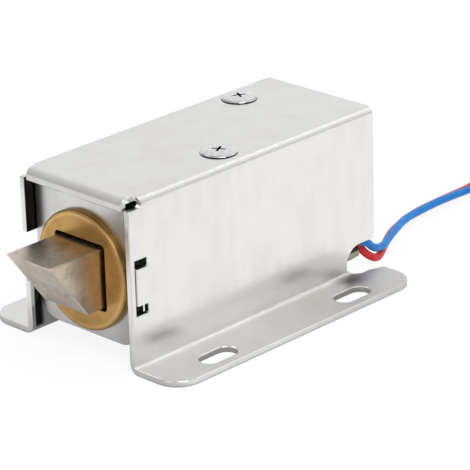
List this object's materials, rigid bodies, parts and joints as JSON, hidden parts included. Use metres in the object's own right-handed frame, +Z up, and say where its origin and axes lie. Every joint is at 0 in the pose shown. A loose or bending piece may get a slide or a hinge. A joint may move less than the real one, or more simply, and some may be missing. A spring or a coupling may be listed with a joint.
{
  "type": "solenoid lock",
  "caption": "Electric cabinet lock: a coil draws a slanted spring latch bolt into a folded steel bracket with slotted mounting feet, with two leads and a small plug.",
  "frame": {"origin": "middle of the four slots in the feet, on the surface that the feet stand on", "axes": "+Z up from the mounting surface, -X the way the latch bolt points, +Y to the left seen from the bolt end looking along +X; the lead notch is in the -Y wall"},
  "size_m": [0.1296, 0.042, 0.0289],
  "materials": {
    "nickel_sheet": "bright nickel plate",
    "zinc_iron": "zinc-plated iron",
    "brass": "turned brass, slightly dulled",
    "black_rubber": "matt",
    "spring_steel": "drawn wire",
    "nylon": "moulded nylon",
    "copper_wire": "enamelled copper wire",
    "pale_tape": "crinkled paper tape",
    "turned_iron": "turned and plated",
    "bright_screw": "bright nickel",
    "red_insulation": "soft vinyl",
    "blue_insulation": "soft vinyl",
    "coil_outline": "soft vinyl",
    "black_tie": "moulded strap",
    "white_plug": "moulded nylon",
    "tinned_contact": "tinned bronze",
    "nickel_bolt": "worn nickel"
  },
  "bodies": {
    "lock_body": {"mounting_bracket": "nickel_sheet", "yoke_frame": "zinc_iron", "pole_plate": "zinc_iron", "guide_bush": "brass", "damper_washer": "black_rubber", "return_spring": "spring_steel", "guide_tube": "brass", "coil_bobbin": "nylon", "coil_winding": "copper_wire", "coil_tape": "pale_tape", "fixed_core": "turned_iron", "cover_screw_front": "bright_screw", "cover_screw_rear": "bright_screw", "lead_joint_wrap": "pale_tape", "red_lead": "red_insulation", "blue_lead": "blue_insulation", "red_lead_tail": "red_insulation", "blue_lead_tail": "blue_insulation", "lead_coil": "coil_outline", "lead_tie": "black_tie", "plug_housing": "white_plug", "plug_contacts": "tinned_contact"},
    "bolt_body": {"latch_bolt": "nickel_bolt", "plunger": "turned_iron", "bolt_pin": "spring_steel"}
  },
  "joints": [
    {"name": "bolt_slide", "type": "slide", "parent": "lock_body", "child": "bolt_body", "axis": [1, 0, 0], "range_m": [0, 0.0093], "stiffness_N_per_m": 150, "springref_m": -0.006, "deforming": ["return_spring"]}
  ]
}
